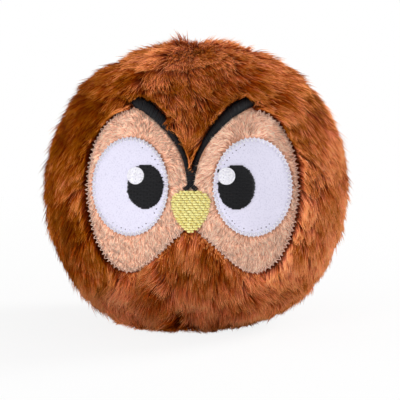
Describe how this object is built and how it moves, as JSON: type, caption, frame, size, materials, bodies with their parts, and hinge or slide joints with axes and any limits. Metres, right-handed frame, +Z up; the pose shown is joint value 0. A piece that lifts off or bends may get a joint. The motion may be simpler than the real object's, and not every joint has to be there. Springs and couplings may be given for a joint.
{
  "type": "plush owl squeaker ball",
  "caption": "Round plush owl dog toy with long brown pile, a sewn mask and embroidered face, a flat base to rest on and a squeaker bulb that gives when pressed.",
  "frame": {"origin": "middle of the base, on the surface that the ball rests on", "axes": "+Z up, +X to the right of someone who looks at the face, the face looks along -Y"},
  "size_m": [0.0976, 0.0961, 0.0914],
  "materials": {
    "fur": "long faux-fur pile on a knitted backing",
    "plush": "short-pile plush",
    "felt": "felt",
    "black_thread": "embroidery thread",
    "white_thread": "embroidery thread",
    "tan_thread": "zigzag stitching",
    "yellow_thread": "embroidery thread",
    "brown_thread": "sewing thread",
    "backing": "nonwoven backing",
    "fibre": "polyester fibre stuffing",
    "bulb": "soft blow-moulded polyethylene",
    "plug": "moulded plastic",
    "reed": "thin plastic film"
  },
  "bodies": {
    "toy": {"front_fur_panel": "fur", "rear_left_fur_panel": "fur", "rear_right_fur_panel": "fur", "face_mask": "plush", "left_eye_disc": "felt", "right_eye_disc": "felt", "left_pupil": "black_thread", "right_pupil": "black_thread", "left_brow": "black_thread", "right_brow": "black_thread", "brow_stem": "black_thread", "left_highlight": "white_thread", "right_highlight": "white_thread", "left_eye_stitch": "white_thread", "right_eye_stitch": "white_thread", "left_mask_stitch": "tan_thread", "right_mask_stitch": "tan_thread", "beak": "yellow_thread", "girth_seam_thread": "brown_thread", "back_seam_thread": "brown_thread", "closing_stitch": "brown_thread", "embroidery_backing": "backing", "front_stuffing": "fibre", "rear_stuffing": "fibre", "squeaker_cup": "bulb", "squeaker_folds": "bulb", "reed_holder": "plug", "reed_cover": "plug", "reed_root": "reed"},
    "crown": {"squeaker_crown": "bulb"},
    "tongue": {"reed_tongue": "reed"}
  },
  "joints": [
    {"name": "squeeze", "type": "slide", "parent": "toy", "child": "crown", "axis": [0, 0, 1], "range_m": [-0.0065, 0], "stiffness_N_per_m": 1200, "deforming": ["squeaker_folds"]},
    {"name": "reed_flutter", "type": "hinge", "parent": "toy", "child": "tongue", "pos_m": [0, 0, 0.0283], "axis": [1, 0, 0], "range_deg": [-8, 8], "stiffness_Nm_per_rad": 0.002}
  ]
}
